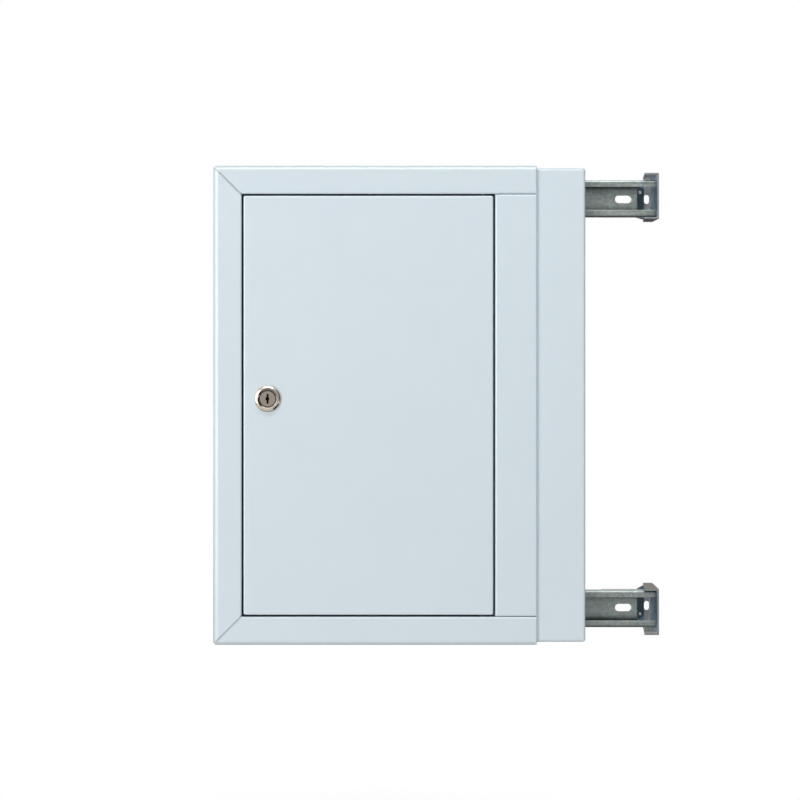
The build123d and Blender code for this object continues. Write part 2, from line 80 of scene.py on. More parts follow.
def white_powder_coat(name, shaded_front=False, mitred_corner=None):
    """Powder coat: a smooth skin over matt white, with crisp lines of light along every fold.

    Painted shade: deep, narrow gaps, such as the gap round the door, are darkened where shade falls,
    a cleat's front is painted near black for the shadow behind the seams, and a thin painted shadow
    runs along a mitre.
    """
    finish, tree, place = new_finish(name)
    peel = add_node(tree, "ShaderNodeTexNoise", {}, {
        "Vector": place, "Scale": 1 / (1.7 * mm), "Detail": 2.0, "Roughness": 0.4})
    wave = add_node(tree, "ShaderNodeTexNoise", {}, {
        "Vector": place, "Scale": 1 / (150 * mm), "Detail": 1.0})
    cloud = add_node(tree, "ShaderNodeTexNoise", {}, {
        "Vector": place, "Scale": 1 / (40 * mm), "Detail": 3.0})
    colour = add_node(tree, "ShaderNodeMix", {"data_type": "RGBA"}, {
        0: cloud.outputs["Fac"], 6: linear("d7e4eb"), 7: linear("dbe8ee")}).outputs[2]
    # Painted shade: near black where little open sky reaches, in gaps and recesses.
    open_sky = add_node(tree, "ShaderNodeAmbientOcclusion", {"samples": 8}, {"Distance": 8 * mm})
    unshaded = add_node(tree, "ShaderNodeMapRange", {}, {
        "Value": open_sky.outputs["AO"], "From Min": 0.1, "From Max": 0.4})
    colour = add_node(tree, "ShaderNodeMix", {"data_type": "RGBA"}, {
        0: unshaded.outputs["Result"], 6: linear("17191a"), 7: colour}).outputs[2]
    # Painted shade: the cleats' front faces near black, for the shadow seen through the seams.
    if shaded_front:
        facing = add_node(tree, "ShaderNodeSeparateXYZ", {}, {
            0: add_node(tree, "ShaderNodeTexCoord", {}, {}).outputs["Normal"]})
        front = add_node(tree, "ShaderNodeMath", {"operation": "LESS_THAN"}, {
            0: facing.outputs["Y"], 1: -0.9})
        colour = add_node(tree, "ShaderNodeMix", {"data_type": "RGBA"}, {
            0: front.outputs["Value"], 6: colour, 7: linear("1c1d1e")}).outputs[2]
    # Painted shadow: a thin dark line across the bars along the mitre, for the shade in its gap.
    if mitred_corner is not None:
        half_seam = 0.25 * mm
        spot = add_node(tree, "ShaderNodeSeparateXYZ", {}, {0: place})
        height = add_node(tree, "ShaderNodeMath", {"operation": "ABSOLUTE"}, {0: spot.outputs["Z"]})
        diagonal = add_node(tree, "ShaderNodeMath", {"operation": "ADD"}, {
            0: spot.outputs["X"], 1: height.outputs["Value"]})
        seam = add_node(tree, "ShaderNodeMath", {"operation": "COMPARE"}, {
            0: diagonal.outputs["Value"], 1: mitred_corner, 2: half_seam})
        colour = add_node(tree, "ShaderNodeMix", {"data_type": "RGBA"}, {
            0: seam.outputs["Value"], 6: colour, 7: linear("3c4246")}).outputs[2]
    gloss = add_node(tree, "ShaderNodeMapRange", {}, {
        "Value": peel.outputs["Fac"], "To Min": 0.4, "To Max": 0.5})
    dents = add_node(tree, "ShaderNodeBump", {}, {
        "Height": wave.outputs["Fac"], "Strength": 0.3, "Distance": 0.5 * mm})
    skin = add_node(tree, "ShaderNodeBump", {}, {
        "Height": peel.outputs["Fac"], "Strength": 0.25, "Distance": 0.03 * mm,
        "Normal": dents.outputs["Normal"]})
    shader = add_node(tree, "ShaderNodeBsdfPrincipled", {}, {
        "Base Color": colour, "Roughness": gloss.outputs["Result"], "Normal": skin.outputs["Normal"],
        "Coat Weight": 1.0, "Coat Roughness": 0.24, "Coat Normal": skin.outputs["Normal"]})
    add_node(tree, "ShaderNodeOutputMaterial", {}, {"Surface": shader.outputs["BSDF"]})
    return finish


def dress(names, finish):
    """Gives CAD nodes a finish."""
    for name in names:
        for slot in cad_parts[name].material_slots:
            slot.material = finish


powder = white_powder_coat("white_powder_coat")
stile_low, stile_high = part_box("frame_left_stile")
dress(["frame_left_stile", "frame_top_rail", "frame_bottom_rail"],
      white_powder_coat("white_powder_coat_on_bars", mitred_corner=stile_low.x + stile_high.z))
dress(["frame_right_stile", "guide_strip_top", "guide_strip_bottom"], powder)
dress(["corner_cleat_top", "corner_cleat_bottom", "stile_cleat_top", "stile_cleat_bottom"],
      white_powder_coat("white_powder_coat_on_cleats", shaded_front=True))


def turned(mesh, place, rows, sides):
    """Adds a closed form turned about its Z: rows of height and radius, which may follow the angle."""
    rings = []
    for height, radius in rows:
        if radius == 0:
            rings.append([mesh.verts.new(place @ Vector((0, 0, height)))] * sides)
            continue
        ring = []
        for side in range(sides):
            angle = 2 * math.pi * side / sides
            reach = radius(angle, height) if callable(radius) else radius
            spot = Vector((reach * math.cos(angle), reach * math.sin(angle), height))
            ring.append(mesh.verts.new(place @ spot))
        rings.append(ring)
    for near, far in zip(rings, rings[1:] + rings[:1]):
        for side in range(sides):
            step = (side + 1) % sides
            corners = list(dict.fromkeys((near[side], near[step], far[step], far[side])))
            if len(corners) > 2:
                mesh.faces.new(corners)


def new_piece(name, mesh, finish, body, sharp=32):
    """Makes an object of a mesh, with edges sharper than an angle left crisp, and hangs it on a body."""
    data = bpy.data.meshes.new(name)
    bmesh.ops.recalc_face_normals(mesh, faces=mesh.faces[:])
    mesh.to_mesh(data)
    mesh.free()
    data.materials.append(finish)
    data.polygons.foreach_set("use_smooth", [True] * len(data.polygons))
    data.set_sharp_from_angle(angle=math.radians(sharp))
    piece = bpy.data.objects.new(name, data)
    bpy.context.scene.collection.objects.link(piece)
    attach(piece, body)
    return piece


to_wall = Matrix.Rotation(-math.pi / 2, 4, "X")


def weld_marks():
    """Shallow rings that the welding tongs leave on the cleats."""
    radius = 2.4 * mm
    sides = 24
    inset = 7 * mm
    stile_spread = 8 * mm
    rows = [
        (-0.1 * mm, 0), (-0.1 * mm, radius), (0.06 * mm, radius), (0.22 * mm, 0.86 * radius),
        (0.2 * mm, 0.72 * radius), (0.05 * mm, 0.55 * radius), (0.02 * mm, 0),
    ]
    mesh = bmesh.new()
    for end in ("top", "bottom"):
        low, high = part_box("corner_cleat_" + end)
        up = 1 if end == "top" else -1
        corner_z = high.z if end == "top" else low.z
        for along in (16 * mm, 32 * mm, 46 * mm):
            for x, z in ((low.x + along, corner_z - up * inset), (low.x + inset, corner_z - up * along)):
                turned(mesh, Matrix.Translation((x, high.y, z)) @ to_wall, rows, sides)
        low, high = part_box("stile_cleat_" + end)
        middle = (low + high) / 2
        for side in (-1, 1):
            for level in (-1, 1):
                spot = (middle.x + side * stile_spread, high.y, middle.z + level * stile_spread)
                turned(mesh, Matrix.Translation(spot) @ to_wall, rows, sides)
    return new_piece("cleat_weld_marks", mesh, powder, "cover")


weld_marks()

# Side extension: a second shell of thinner reach, nested behind the right end of the frame, which
# slides out on the guide strips. The same powder coat.

dress(["side_extension"], powder)

# Door leaf: a pan of steel sheet, folded twice along each edge, which lies flush in the frame and
# swings on the hinges at its right edge. The same powder coat.

dress(["door_leaf"], powder)

# Hinges: turned steel pins, zinc plated, that stand in the frame's top and bottom rails, and black
# nylon bushes pressed into the door's top and bottom edges.


def bright_zinc():
    """Electroplated zinc: bright with a slight blue cast, clouded where the bath was uneven."""
    finish, tree, place = new_finish("bright_zinc_plate")
    cloud = add_node(tree, "ShaderNodeTexNoise", {}, {
        "Vector": place, "Scale": 1 / (3 * mm), "Detail": 4.0})
    colour = add_node(tree, "ShaderNodeMix", {"data_type": "RGBA"}, {
        0: cloud.outputs["Fac"], 6: linear("b4b9bf"), 7: linear("d2d6da")})
    gloss = add_node(tree, "ShaderNodeMapRange", {}, {
        "Value": cloud.outputs["Fac"], "To Min": 0.24, "To Max": 0.4})
    bump = add_node(tree, "ShaderNodeBump", {}, {
        "Height": cloud.outputs["Fac"], "Strength": 0.2, "Distance": 0.03 * mm})
    shader = add_node(tree, "ShaderNodeBsdfPrincipled", {}, {
        "Base Color": colour.outputs[2], "Metallic": 1.0, "Roughness": gloss.outputs["Result"],
        "Normal": bump.outputs["Normal"]})
    add_node(tree, "ShaderNodeOutputMaterial", {}, {"Surface": shader.outputs["BSDF"]})
    return finish


def black_nylon():
    """Moulded nylon: dull black with a fine grain from the mould."""
    finish, tree, place = new_finish("moulded_black_nylon")
    grain = add_node(tree, "ShaderNodeTexNoise", {}, {
        "Vector": place, "Scale": 1 / (0.4 * mm), "Detail": 3.0})
    colour = add_node(tree, "ShaderNodeMix", {"data_type": "RGBA"}, {
        0: grain.outputs["Fac"], 6: linear("17181a"), 7: linear("242527")})
    bump = add_node(tree, "ShaderNodeBump", {}, {
        "Height": grain.outputs["Fac"], "Strength": 0.4, "Distance": 0.03 * mm})
    shader = add_node(tree, "ShaderNodeBsdfPrincipled", {}, {
        "Base Color": colour.outputs[2], "Roughness": 0.55, "Normal": bump.outputs["Normal"]})
    add_node(tree, "ShaderNodeOutputMaterial", {}, {"Surface": shader.outputs["BSDF"]})
    return finish


zinc = bright_zinc()
dress(["hinge_pin_top", "hinge_pin_bottom"], zinc)
dress(["hinge_bush_top", "hinge_bush_bottom"], black_nylon())

# Door seal: self-adhesive foam strip on the rebate, one length down the left side and one each along
# the top and the bottom. Cut from sheet, so its sides show cut cells and its face is a soft, rounded skin.


def closed_cell_foam():
    """Black foam rubber: matt, with fine pores that catch a little light."""
    finish, tree, place = new_finish("closed_cell_foam")
    pores = add_node(tree, "ShaderNodeTexVoronoi", {}, {"Vector": place, "Scale": 1 / (0.8 * mm)})
    colour = add_node(tree, "ShaderNodeMix", {"data_type": "RGBA"}, {
        0: pores.outputs["Distance"], 6: linear("0e0e0f"), 7: linear("1d1d1f")})
    bump = add_node(tree, "ShaderNodeBump", {}, {
        "Height": pores.outputs["Distance"], "Strength": 0.6, "Distance": 0.15 * mm})
    shader = add_node(tree, "ShaderNodeBsdfPrincipled", {}, {
        "Base Color": colour.outputs[2], "Roughness": 0.92, "Normal": bump.outputs["Normal"]})
    add_node(tree, "ShaderNodeOutputMaterial", {}, {"Surface": shader.outputs["BSDF"]})
    return finish


def foam_strip(mesh, start, end, across, width, height):
    """Adds a strip from start to end: flat on the rebate, rounded on its face, a little uneven."""
    length = (end - start).length
    steps = max(2, round(length / (6 * mm)))
    face = Vector((0, -1, 0))
    bow = [math.pi * turn / 8 for turn in range(9)]
    rings = []
    for step in range(steps + 1):
        run = step / steps
        loose = 1 - 0.05 * (1 + math.sin(run * length / (17 * mm))) / 2
        middle = start.lerp(end, run)
        ring = []
        for turn in bow:
            side = -math.copysign(abs(math.cos(turn)) ** 0.35, math.cos(turn)) * width / 2
            rise = (0.35 + 0.65 * math.sin(turn) ** 0.6) * height * loose if 0 < turn < math.pi else 0
            ring.append(mesh.verts.new(middle + across * side + face * rise))
        rings.append(ring)
    for near, far in zip(rings, rings[1:]):
        for side in range(len(bow)):
            step = (side + 1) % len(bow)
            mesh.faces.new((near[side], near[step], far[step], far[side]))
    mesh.faces.new(rings[0])
    mesh.faces.new(rings[-1])


def door_seal():
    """The three strips, butted at the left corners."""
    low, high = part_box("door_seal")
    width = 6 * mm
    half = width / 2
    height = high.y - low.y
    mesh = bmesh.new()
    left = low.x + half
    foam_strip(mesh, Vector((left, high.y, low.z)), Vector((left, high.y, high.z)),
               Vector((1, 0, 0)), width, height)
    for z in (low.z + half, high.z - half):
        foam_strip(mesh, Vector((low.x + width, high.y, z)), Vector((high.x, high.y, z)),
                   Vector((0, 0, 1)), width, height)
    strip = new_piece("foam_door_seal", mesh, closed_cell_foam(), "cover", sharp=60)
    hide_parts("door_seal")


door_seal()

# Cam lock: a nickel-plated housing turned in one piece with its threaded barrel, held behind the door
# by a hexagon nut. The plug in it carries the keyway, and the cam with its screw at the rear end.


def nickel_plate(centre):
    """Bright nickel on turned brass: fine rings round the lock's axis, with painted shade in dark brown in
    the grooves and recesses.
    """
    finish, tree, place = new_finish("turned_nickel_plate")
    offset = add_node(tree, "ShaderNodeVectorMath", {"operation": "SUBTRACT"}, {
        0: place, 1: centre})
    flat = add_node(tree, "ShaderNodeVectorMath", {"operation": "MULTIPLY"}, {
        0: offset.outputs["Vector"], 1: (1, 0, 1)})
    radius = add_node(tree, "ShaderNodeVectorMath", {"operation": "LENGTH"}, {
        0: flat.outputs["Vector"]})
    # The tool marks are about 0.1 mm apart; they are drawn at 0.5 mm so that they show.
    spread = add_node(tree, "ShaderNodeMath", {"operation": "MULTIPLY"}, {
        0: radius.outputs["Value"], 1: 1 / (0.5 * mm)})
    rings = add_node(tree, "ShaderNodeTexNoise", {"noise_dimensions": "1D"}, {
        "W": spread.outputs["Value"], "Scale": 1.0, "Detail": 2.0})
    cloud = add_node(tree, "ShaderNodeTexNoise", {}, {
        "Vector": place, "Scale": 1 / (4 * mm), "Detail": 3.0})
    bright = add_node(tree, "ShaderNodeMix", {"data_type": "RGBA"}, {
        0: rings.outputs["Fac"], 6: linear("b6a99b"), 7: linear("dfd4c8")})
    # Painted shade: dark brown where little open sky reaches, in the grooves and the recess.
    open_sky = add_node(tree, "ShaderNodeAmbientOcclusion", {"samples": 8}, {"Distance": 9 * mm})
    shade_free = add_node(tree, "ShaderNodeMapRange", {}, {
        "Value": open_sky.outputs["AO"], "From Min": 0.2, "From Max": 0.7})
    colour = add_node(tree, "ShaderNodeMix", {"data_type": "RGBA"}, {
        0: shade_free.outputs["Result"], 6: linear("16110d"), 7: bright.outputs[2]})
    gloss = add_node(tree, "ShaderNodeMapRange", {}, {
        "Value": cloud.outputs["Fac"], "To Min": 0.13, "To Max": 0.2})
    bump = add_node(tree, "ShaderNodeBump", {}, {
        "Height": rings.outputs["Fac"], "Strength": 0.25, "Distance": 0.05 * mm})
    shader = add_node(tree, "ShaderNodeBsdfPrincipled", {}, {
        "Base Color": colour.outputs[2], "Metallic": 1.0, "Roughness": gloss.outputs["Result"],
        "Normal": bump.outputs["Normal"]})
    add_node(tree, "ShaderNodeOutputMaterial", {}, {"Surface": shader.outputs["BSDF"]})
    return finish


to_front = Matrix.Rotation(math.pi / 2, 4, "X")
lock_low, lock_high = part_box("lock_housing")
lock_axis = (lock_low + lock_high) / 2
door_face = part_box("door_leaf")[0].y
nickel = nickel_plate(lock_axis)
dress(["lock_plug"], nickel)
dress(["lock_cam"], zinc)


def thread(radius, pitch):
    """Radius of a helical thread of triangular section."""
    depth = 0.58 * pitch

    def at(angle, height):
        share = (height / pitch - angle / (2 * math.pi)) % 1
        return radius - depth * abs(2 * share - 1)
    return at


def thread_rows(low, high, profile, pitch):
    """Rows close enough together to show each turn of a thread."""
    rows_per_turn = 6
    count = math.ceil((high - low) / pitch * rows_per_turn)
    return [(low + (high - low) * row / count, profile) for row in range(count + 1)]


def lock_housing():
    """Domed bezel with a recess for the plug's face, and a threaded barrel with two flats."""
    bezel = (lock_high.x - lock_low.x) / 2
    height = door_face - lock_low.y
    rim = 0.7 * mm
    mouth = 8.2 * mm
    mouth_bevel = 0.75 * mm
    recess = 7.35 * mm
    bore = 5.55 * mm
    barrel = 9 * mm
    undercut = 0.6 * mm
    flats = 16 * mm
    pitch = 1 * mm
    thread_start = 0.4 * mm
    edge_break = 0.15 * mm
    sides = 96
    rear = door_face - lock_high.y
    screw = thread(barrel, pitch)

    def barrel_side(angle, level):
        return min(screw(angle, level), flats / 2 / max(abs(math.cos(angle)), 1e-6))

    dome = [math.pi / 2 * turn / 14 for turn in range(15)]
    rows = [(rear, bore), (rim, bore), (rim, recess), (height - mouth_bevel, recess)]
    rows += [
        (rim + (height - rim) * math.sin(turn), mouth + (bezel - mouth) * math.cos(turn))
        for turn in reversed(dome)
    ]
    rows += [(edge_break, bezel), (0, bezel - edge_break), (0, barrel - undercut)]
    rows += reversed(thread_rows(rear, -thread_start, barrel_side, pitch))
    mesh = bmesh.new()
    turned(mesh, Matrix.Translation((lock_axis.x, door_face, lock_axis.z)) @ to_front, rows, sides)
    housing = new_piece("lock_housing_turned", mesh, nickel, "door")
    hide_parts("lock_housing")


lock_housing()


def hexagon(flats, ends):
    """Radius of a hexagon across flats, its corners turned off at 30 degrees towards the ends."""
    def at(angle, height):
        flat = flats / 2 / math.cos(angle % (math.pi / 3) - math.pi / 6)
        return min([flat] + [0.485 * flats + abs(height - end) * math.sqrt(3) for end in ends])
    return at


def lock_nut():
    """Flat hexagon nut, its corners turned off on both faces and its bore countersunk."""
    low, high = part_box("lock_nut")
    height = high.y - low.y
    flats = 22 * mm
    bore = 9.05 * mm
    sink = 0.4 * mm
    sides = 72
    side = hexagon(flats, (0, height))
    levels = [0, 0.4 * mm, 0.8 * mm, 1.2 * mm]
    rows = [(0, bore + sink), (sink, bore), (height - sink, bore), (height, bore + sink)]
    rows += [(height - level, side) for level in levels] + [(level, side) for level in reversed(levels)]
    mesh = bmesh.new()
    turned(mesh, Matrix.Translation((lock_axis.x, low.y, lock_axis.z)) @ to_wall, rows, sides)
    nut = new_piece("lock_nut_chamfered", mesh, zinc, "door")
    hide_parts("lock_nut")


lock_nut()


def shank_rows(radius, pitch, length):
    """Rows of a threaded shank that points down from its seat at height 0."""
    lead = 0.6 * pitch
    rows = [(-length, 0), (-length, radius - lead)]
    rows += thread_rows(lead - length, -lead, thread(radius, pitch), pitch)
    return rows + [(0, radius - 0.3 * pitch)]


def hex_head_rows(flats, head):
    """Rows of a hexagon head with a washer face below and turned-off corners above."""
    step = 0.12 * head
    washer = 0.47 * flats
    side = hexagon(flats, (head,))
    rows = [(0, washer), (0.5 * step, washer), (0.5 * step, side)]
    return rows + [(head - step * level, side) for level in (3, 2, 1, 0)] + [(head, 0)]


screw_sides = 36


def cam_screw():
    """Hexagon screw in the plug's rear end, which clamps the cam."""
    low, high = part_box("cam_screw")
    radius = 2.5 * mm
    pitch = 0.8 * mm
    flats = 8 * mm
    head = 2.5 * mm
    seat = high.y - head
    rows = shank_rows(radius, pitch, seat - low.y) + hex_head_rows(flats, head)
    mesh = bmesh.new()
    place = Matrix.Translation((lock_axis.x, seat, lock_axis.z)) @ to_wall
    turned(mesh, place, rows, screw_sides)
    screw = new_piece("cam_screw_threaded", mesh, zinc, "lock")
    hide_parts("cam_screw")


cam_screw()

# C-rails: two lengths of galvanised strip, rolled to a shallow lipped channel and slotted. Rolling
# lines run along them and the zinc shows a faint spangle.


def rolled_galvanised():
    """Hot-dip zinc on rolled strip: dull grey flakes, lines along the rail, bright worn edges.

    Painted shade darkens the inner corners of the channel.
    """
    finish, tree, place = new_finish("rolled_galvanised_steel")
    stretch = add_node(tree, "ShaderNodeMapping", {}, {
        "Vector": place, "Scale": (1 / (45 * mm), 1 / (1.3 * mm), 1 / (1.3 * mm))})
    lines = add_node(tree, "ShaderNodeTexNoise", {}, {
        "Vector": stretch.outputs["Vector"], "Scale": 1.0, "Detail": 3.0})
    flakes = add_node(tree, "ShaderNodeTexVoronoi", {}, {"Vector": place, "Scale": 1 / (3 * mm)})
    speck = add_node(tree, "ShaderNodeTexNoise", {}, {
        "Vector": place, "Scale": 1 / (1.6 * mm), "Detail": 3.0, "Roughness": 0.7})
    blend = add_node(tree, "ShaderNodeMix", {"data_type": "FLOAT"}, {
        0: 0.3, 2: lines.outputs["Fac"], 3: flakes.outputs["Color"]})
    mottle = add_node(tree, "ShaderNodeMix", {"data_type": "FLOAT"}, {
        0: 0.5, 2: blend.outputs[0], 3: speck.outputs["Fac"]})
    contrast = add_node(tree, "ShaderNodeMapRange", {}, {
        "Value": mottle.outputs[0], "From Min": 0.3, "From Max": 0.7})
    zinc_grey = add_node(tree, "ShaderNodeMix", {"data_type": "RGBA"}, {
        0: contrast.outputs["Result"], 6: linear("7f8988"), 7: linear("bec6c3")})
    # Painted shade: darker in the channel's inner corners and under the lips.
    open_sky = add_node(tree, "ShaderNodeAmbientOcclusion", {"samples": 8}, {"Distance": 16 * mm})
    shade_free = add_node(tree, "ShaderNodeMapRange", {}, {
        "Value": open_sky.outputs["AO"], "From Min": 0.25, "From Max": 0.95})
    colour = add_node(tree, "ShaderNodeMix", {"data_type": "RGBA"}, {
        0: shade_free.outputs["Result"], 6: linear("3c474a"), 7: zinc_grey.outputs[2]})
    gloss = add_node(tree, "ShaderNodeMapRange", {}, {
        "Value": contrast.outputs["Result"], "To Min": 0.34, "To Max": 0.5})
    worn = add_node(tree, "ShaderNodeBevel", {"samples": 6}, {"Radius": 0.8 * mm})
    bump = add_node(tree, "ShaderNodeBump", {}, {
        "Height": contrast.outputs["Result"], "Strength": 0.3, "Distance": 0.05 * mm,
        "Normal": worn.outputs["Normal"]})
    shader = add_node(tree, "ShaderNodeBsdfPrincipled", {}, {
        "Base Color": colour.outputs[2], "Metallic": 1.0, "Roughness": gloss.outputs["Result"],
        "Normal": bump.outputs["Normal"]})
    add_node(tree, "ShaderNodeOutputMaterial", {}, {"Surface": shader.outputs["BSDF"]})
    return finish


dress(["upper_rail", "lower_rail"], rolled_galvanised())

# Wall brackets: cups pressed and bent from plain sheet, each with a tongue under the rail, a slanted
# step down to the slotted foot, an end plate and two side walls. The sheet is drawn in fine lines.


def pressed_sheet(rail_level, half_strip):
    """Zinc-coated sheet in fine lines, a warm grey, with painted light and shade by where each face lies.

    Painted light: lighter inside the cups, where shade falls, and duller outside. Painted reflection:
    faces turned sideways, the end plates, are bluish. Front-facing faces out in the open, the cut
    edges, are painted pale as lit from the front. A painted shadow darkens a strip down the middle of
    the slanted step.
    """
    finish, tree, place = new_finish("pressed_zinc_sheet")
    stretch = add_node(tree, "ShaderNodeMapping", {}, {
        "Vector": place, "Scale": (1 / (1.2 * mm), 1 / (1.2 * mm), 1 / (30 * mm))})
    lines = add_node(tree, "ShaderNodeTexNoise", {}, {
        "Vector": stretch.outputs["Vector"], "Scale": 1.0, "Detail": 3.0})
    speck = add_node(tree, "ShaderNodeTexNoise", {}, {
        "Vector": place, "Scale": 1 / (1.5 * mm), "Detail": 3.0})
    mottle = add_node(tree, "ShaderNodeMix", {"data_type": "FLOAT"}, {
        0: 0.5, 2: lines.outputs["Fac"], 3: speck.outputs["Fac"]})
    contrast = add_node(tree, "ShaderNodeMapRange", {}, {
        "Value": mottle.outputs[0], "From Min": 0.3, "From Max": 0.7})
    facing = add_node(tree, "ShaderNodeSeparateXYZ", {}, {
        0: add_node(tree, "ShaderNodeTexCoord", {}, {}).outputs["Normal"]})
    sideways = add_node(tree, "ShaderNodeMath", {"operation": "ABSOLUTE"}, {0: facing.outputs["X"]})
    # Painted light: lighter inside the cups, where shade falls, duller outside.
    open_sky = add_node(tree, "ShaderNodeAmbientOcclusion", {"samples": 8}, {"Distance": 16 * mm})
    outside = add_node(tree, "ShaderNodeMapRange", {}, {
        "Value": open_sky.outputs["AO"], "From Min": 0.3, "From Max": 0.8})
    warm_painted_light = add_node(tree, "ShaderNodeMix", {"data_type": "RGBA"}, {
        0: outside.outputs["Result"], 6: linear("f4efea"), 7: linear("8a847f")})
    # Painted reflection: faces turned sideways, such as the end plates, bluish.
    bluish_painted_reflection = add_node(tree, "ShaderNodeMix", {"data_type": "RGBA"}, {
        0: outside.outputs["Result"], 6: linear("b2cadb"), 7: linear("76858f")})
    plain = add_node(tree, "ShaderNodeMix", {"data_type": "RGBA"}, {
        0: sideways.outputs["Value"], 6: warm_painted_light.outputs[2], 7: bluish_painted_reflection.outputs[2]})
    # Painted light: front-facing faces out in the open, the cut edges, pale.
    front = add_node(tree, "ShaderNodeMath", {"operation": "LESS_THAN"}, {
        0: facing.outputs["Y"], 1: -0.9})
    cut = add_node(tree, "ShaderNodeMath", {"operation": "MULTIPLY"}, {
        0: front.outputs["Value"], 1: outside.outputs["Result"]})
    edged = add_node(tree, "ShaderNodeMix", {"data_type": "RGBA"}, {
        0: cut.outputs["Value"], 6: plain.outputs[2], 7: linear("929a9f")})
    shade = add_node(tree, "ShaderNodeMapRange", {}, {
        "Value": contrast.outputs["Result"], "To Min": 0.78, "To Max": 1.1})
    drawn = add_node(tree, "ShaderNodeVectorMath", {"operation": "SCALE"}, {
        0: edged.outputs[2], "Scale": shade.outputs["Result"]})
    # Painted shadow: a dark strip down the middle of the slanted step.
    slanted = add_node(tree, "ShaderNodeMath", {"operation": "COMPARE"}, {
        0: sideways.outputs["Value"], 1: 0.9, 2: 0.06})
    level = add_node(tree, "ShaderNodeSeparateXYZ", {}, {0: place})
    height = add_node(tree, "ShaderNodeMath", {"operation": "ABSOLUTE"}, {0: level.outputs["Z"]})
    middle = add_node(tree, "ShaderNodeMath", {"operation": "COMPARE"}, {
        0: height.outputs["Value"], 1: rail_level, 2: half_strip})
    painted_step_shadow = add_node(tree, "ShaderNodeMath", {"operation": "MULTIPLY"}, {
        0: slanted.outputs["Value"], 1: middle.outputs["Value"]})
    colour = add_node(tree, "ShaderNodeMix", {"data_type": "RGBA"}, {
        0: painted_step_shadow.outputs["Value"], 6: drawn.outputs["Vector"], 7: linear("6a7e86")})
    gloss = add_node(tree, "ShaderNodeMapRange", {}, {
        "Value": contrast.outputs["Result"], "To Min": 0.6, "To Max": 0.76})
    worn = add_node(tree, "ShaderNodeBevel", {"samples": 6}, {"Radius": 0.4 * mm})
    bump = add_node(tree, "ShaderNodeBump", {}, {
        "Height": mottle.outputs[0], "Strength": 0.3, "Distance": 0.05 * mm,
        "Normal": worn.outputs["Normal"]})
    shader = add_node(tree, "ShaderNodeBsdfPrincipled", {}, {
        "Base Color": colour.outputs[2], "Metallic": 0.8, "Roughness": gloss.outputs["Result"],
        "Normal": bump.outputs["Normal"]})
    add_node(tree, "ShaderNodeOutputMaterial", {}, {"Surface": shader.outputs["BSDF"]})
    return finish


upper_low, upper_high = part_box("upper_rail")
dress(["bracket_upper_right", "bracket_upper_left", "bracket_lower_right", "bracket_lower_left"],
      pressed_sheet((upper_low.z + upper_high.z) / 2, 11 * mm))

# Tab screws: small threaded screws of zinc-plated steel with a domed head. One goes through the slanted
# step of each bracket, beside the rail's middle.


def white_zinc():
    """Pale, cloudy zinc, made near white as a painted highlight: a light spot in the dark end of the
    channel.
    """
    finish, tree, place = new_finish("zinc_plate_painted_glint")
    cloud = add_node(tree, "ShaderNodeTexNoise", {}, {
        "Vector": place, "Scale": 1 / (0.8 * mm), "Detail": 3.0})
    # Painted highlight: near white, for the glint on the screw heads.
    colour = add_node(tree, "ShaderNodeMix", {"data_type": "RGBA"}, {
        0: cloud.outputs["Fac"], 6: linear("e6eaed"), 7: linear("f6f8fa")})
    gloss = add_node(tree, "ShaderNodeMapRange", {}, {
        "Value": cloud.outputs["Fac"], "To Min": 0.3, "To Max": 0.5})
    shader = add_node(tree, "ShaderNodeBsdfPrincipled", {}, {
        "Base Color": colour.outputs[2], "Metallic": 0.35, "Roughness": gloss.outputs["Result"]})
    add_node(tree, "ShaderNodeOutputMaterial", {}, {"Surface": shader.outputs["BSDF"]})
    return finish


def tab_screws():
    """All four screws, each square on its slanted step."""
    sheet = 1.5 * mm
    foot = 6.5 * mm
    step_run = 9 * mm
    down_the_step = 0.25
    off_the_middle = 6.5 * mm
    shank = 1 * mm
    pitch = 0.4 * mm
    length = 4 * mm
    head = 2 * mm
    radius = 1.5 * mm
    shoulder = 0.3 * head
    dome = [math.pi / 2 * turn / 10 for turn in range(10)]
    rows = shank_rows(shank, pitch, length) + [(0, 0.96 * radius)]
    rows += [(shoulder + (head - shoulder) * math.sin(turn), radius * math.cos(turn)) for turn in dome]
    rows += [(head, 0)]
    bracket_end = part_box("bracket_upper_right")[1].x
    low, high = upper_low, upper_high
    step_top = Vector((bracket_end - sheet - foot - step_run, high.y + sheet / 2, 0))
    fall = Vector((step_run, -high.y - sheet, 0))
    facing = Vector((fall.y, -fall.x, 0)).normalized()
    seat = step_top + down_the_step * fall + sheet / 2 * facing
    height = (low.z + high.z) / 2 + off_the_middle
    mesh = bmesh.new()
    for side in (1, -1):
        x = (low.x + high.x) / 2 + side * (seat.x - (low.x + high.x) / 2)
        tilt = Vector((side * facing.x, facing.y, 0)).to_track_quat("Z", "Y").to_matrix().to_4x4()
        for z in (height, -height):
            turned(mesh, Matrix.Translation((x, seat.y, z)) @ tilt, rows, screw_sides)
    screws = new_piece("tab_screws_threaded", mesh, white_zinc(), "cover")
    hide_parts("tab_screws")


tab_screws()

# Hangers: angles of powder-coated sheet welded to the cover's walls, each held to a rail's lips by a
# hexagon screw and a plate nut that slides in the channel.

hangers = ["hanger_upper_left", "hanger_upper_right", "hanger_lower_left", "hanger_lower_right"]
dress(hangers, powder)
dress(["sliding_nuts"], zinc)


